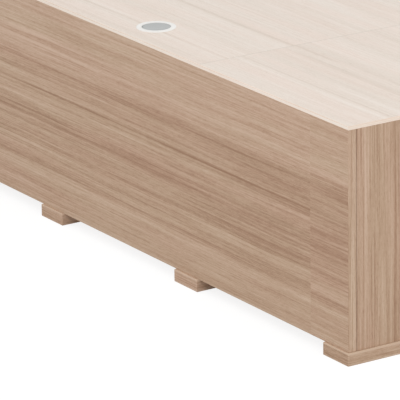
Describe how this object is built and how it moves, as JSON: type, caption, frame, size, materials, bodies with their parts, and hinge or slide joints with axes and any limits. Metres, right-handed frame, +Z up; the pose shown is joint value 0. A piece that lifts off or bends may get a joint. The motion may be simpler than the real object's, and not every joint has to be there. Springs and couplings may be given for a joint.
{
  "type": "teacher desk",
  "caption": "Long classroom desk with a closed front and ends, runner feet, a pale worktop with a cable grommet, a knee space, drawers and cupboards on the teacher's side.",
  "frame": {"origin": "middle of the desk's bounding box on the floor", "axes": "+X along the desk to the drawer end, +Y from the closed front panel to the teacher's side, +Z up"},
  "size_m": [2.56, 0.974, 0.7425],
  "materials": {
    "oak_level_grain": "matt wood-grain laminate, grain along the board",
    "oak_upright_grain": "matt wood-grain laminate, grain upright",
    "pale_worktop": "matt bleached wood-grain laminate",
    "pale_edge_band": "matt cream edge band",
    "drawer_board": "matt pale laminate",
    "drawer_bottom_board": "smooth pale fibreboard",
    "slide_steel": "powder coated",
    "satin_steel": "brushed",
    "hinge_steel": "satin nickel",
    "zinc_fitting": "zinc plated",
    "white_plastic": "satin white",
    "grey_plastic": "satin light grey",
    "brown_plastic": "matt brown",
    "lock_chrome": "polished"
  },
  "bodies": {
    "desk": {"base_board_left": "oak_level_grain", "base_board_right": "oak_level_grain", "cam_bolts": "zinc_fitting", "cam_housings": "zinc_fitting", "cupboard_shelf": "oak_level_grain", "end_panel_left": "oak_upright_grain", "end_panel_right": "oak_upright_grain", "fixed_hinge_leaves": "hinge_steel", "front_edge_bands": "oak_upright_grain", "front_panel": "oak_level_grain", "grommet_ring": "white_plastic", "hinge_pins": "hinge_steel", "magnetic_catches": "brown_plastic", "partition_left": "oak_upright_grain", "partition_right": "oak_upright_grain", "pedestal_divider": "oak_upright_grain", "runner_left_end": "oak_level_grain", "runner_left_inner": "oak_level_grain", "runner_right_end": "oak_level_grain", "runner_right_inner": "oak_level_grain", "runner_screws": "zinc_fitting", "shelf_pins": "zinc_fitting", "slide_channels": "slide_steel", "sub_top_left": "oak_level_grain", "sub_top_middle": "oak_level_grain", "sub_top_right": "oak_level_grain", "worktop_edge_bands": "pale_edge_band", "worktop_left": "pale_worktop", "worktop_middle": "pale_worktop", "worktop_right": "pale_worktop"},
    "top_drawer": {"top_drawer_front": "oak_level_grain", "top_drawer_sides": "drawer_board", "top_drawer_back": "drawer_board", "top_drawer_bottom": "drawer_bottom_board", "top_drawer_slides": "slide_steel", "top_drawer_handle": "satin_steel", "drawer_lock_barrel": "lock_chrome"},
    "middle_drawer": {"middle_drawer_front": "oak_level_grain", "middle_drawer_sides": "drawer_board", "middle_drawer_back": "drawer_board", "middle_drawer_bottom": "drawer_bottom_board", "middle_drawer_slides": "slide_steel", "middle_drawer_handle": "satin_steel"},
    "bottom_drawer": {"bottom_drawer_front": "oak_level_grain", "bottom_drawer_sides": "drawer_board", "bottom_drawer_back": "drawer_board", "bottom_drawer_bottom": "drawer_bottom_board", "bottom_drawer_slides": "slide_steel", "bottom_drawer_handle": "satin_steel"},
    "drawer_lock_core": {"drawer_lock_core": "lock_chrome"},
    "computer_door": {"computer_door": "oak_upright_grain", "computer_door_handle": "satin_steel", "computer_door_hinge_leaves": "hinge_steel"},
    "left_cupboard_door": {"left_cupboard_door": "oak_upright_grain", "left_cupboard_door_handle": "satin_steel", "left_cupboard_door_hinge_leaves": "hinge_steel"},
    "right_cupboard_door": {"right_cupboard_door": "oak_upright_grain", "right_cupboard_door_handle": "satin_steel", "right_cupboard_door_hinge_leaves": "hinge_steel"},
    "grommet_lid": {"grommet_lid": "grey_plastic"}
  },
  "joints": [
    {"name": "top_drawer_slide", "type": "slide", "parent": "desk", "child": "top_drawer", "axis": [0, 1, 0], "range_m": [0, 0.4]},
    {"name": "middle_drawer_slide", "type": "slide", "parent": "desk", "child": "middle_drawer", "axis": [0, 1, 0], "range_m": [0, 0.4]},
    {"name": "bottom_drawer_slide", "type": "slide", "parent": "desk", "child": "bottom_drawer", "axis": [0, 1, 0], "range_m": [0, 0.4]},
    {"name": "computer_door_hinge", "type": "hinge", "parent": "desk", "child": "computer_door", "pos_m": [0.4152, 0.4413, 0.384], "axis": [0, 0, 1], "range_deg": [0, 170]},
    {"name": "left_cupboard_door_hinge", "type": "hinge", "parent": "desk", "child": "left_cupboard_door", "pos_m": [-1.2438, 0.4413, 0.384], "axis": [0, 0, 1], "range_deg": [0, 170]},
    {"name": "right_cupboard_door_hinge", "type": "hinge", "parent": "desk", "child": "right_cupboard_door", "pos_m": [-0.4152, 0.4413, 0.384], "axis": [0, 0, -1], "range_deg": [0, 170]},
    {"name": "drawer_lock_turn", "type": "hinge", "parent": "top_drawer", "child": "drawer_lock_core", "pos_m": [1.17175, 0.438, 0.6726], "axis": [0, 1, 0], "range_deg": [0, 90]},
    {"name": "grommet_lid_lift", "type": "slide", "parent": "desk", "child": "grommet_lid", "axis": [0, 0, 1], "range_m": [0, 0.03]}
  ]
}
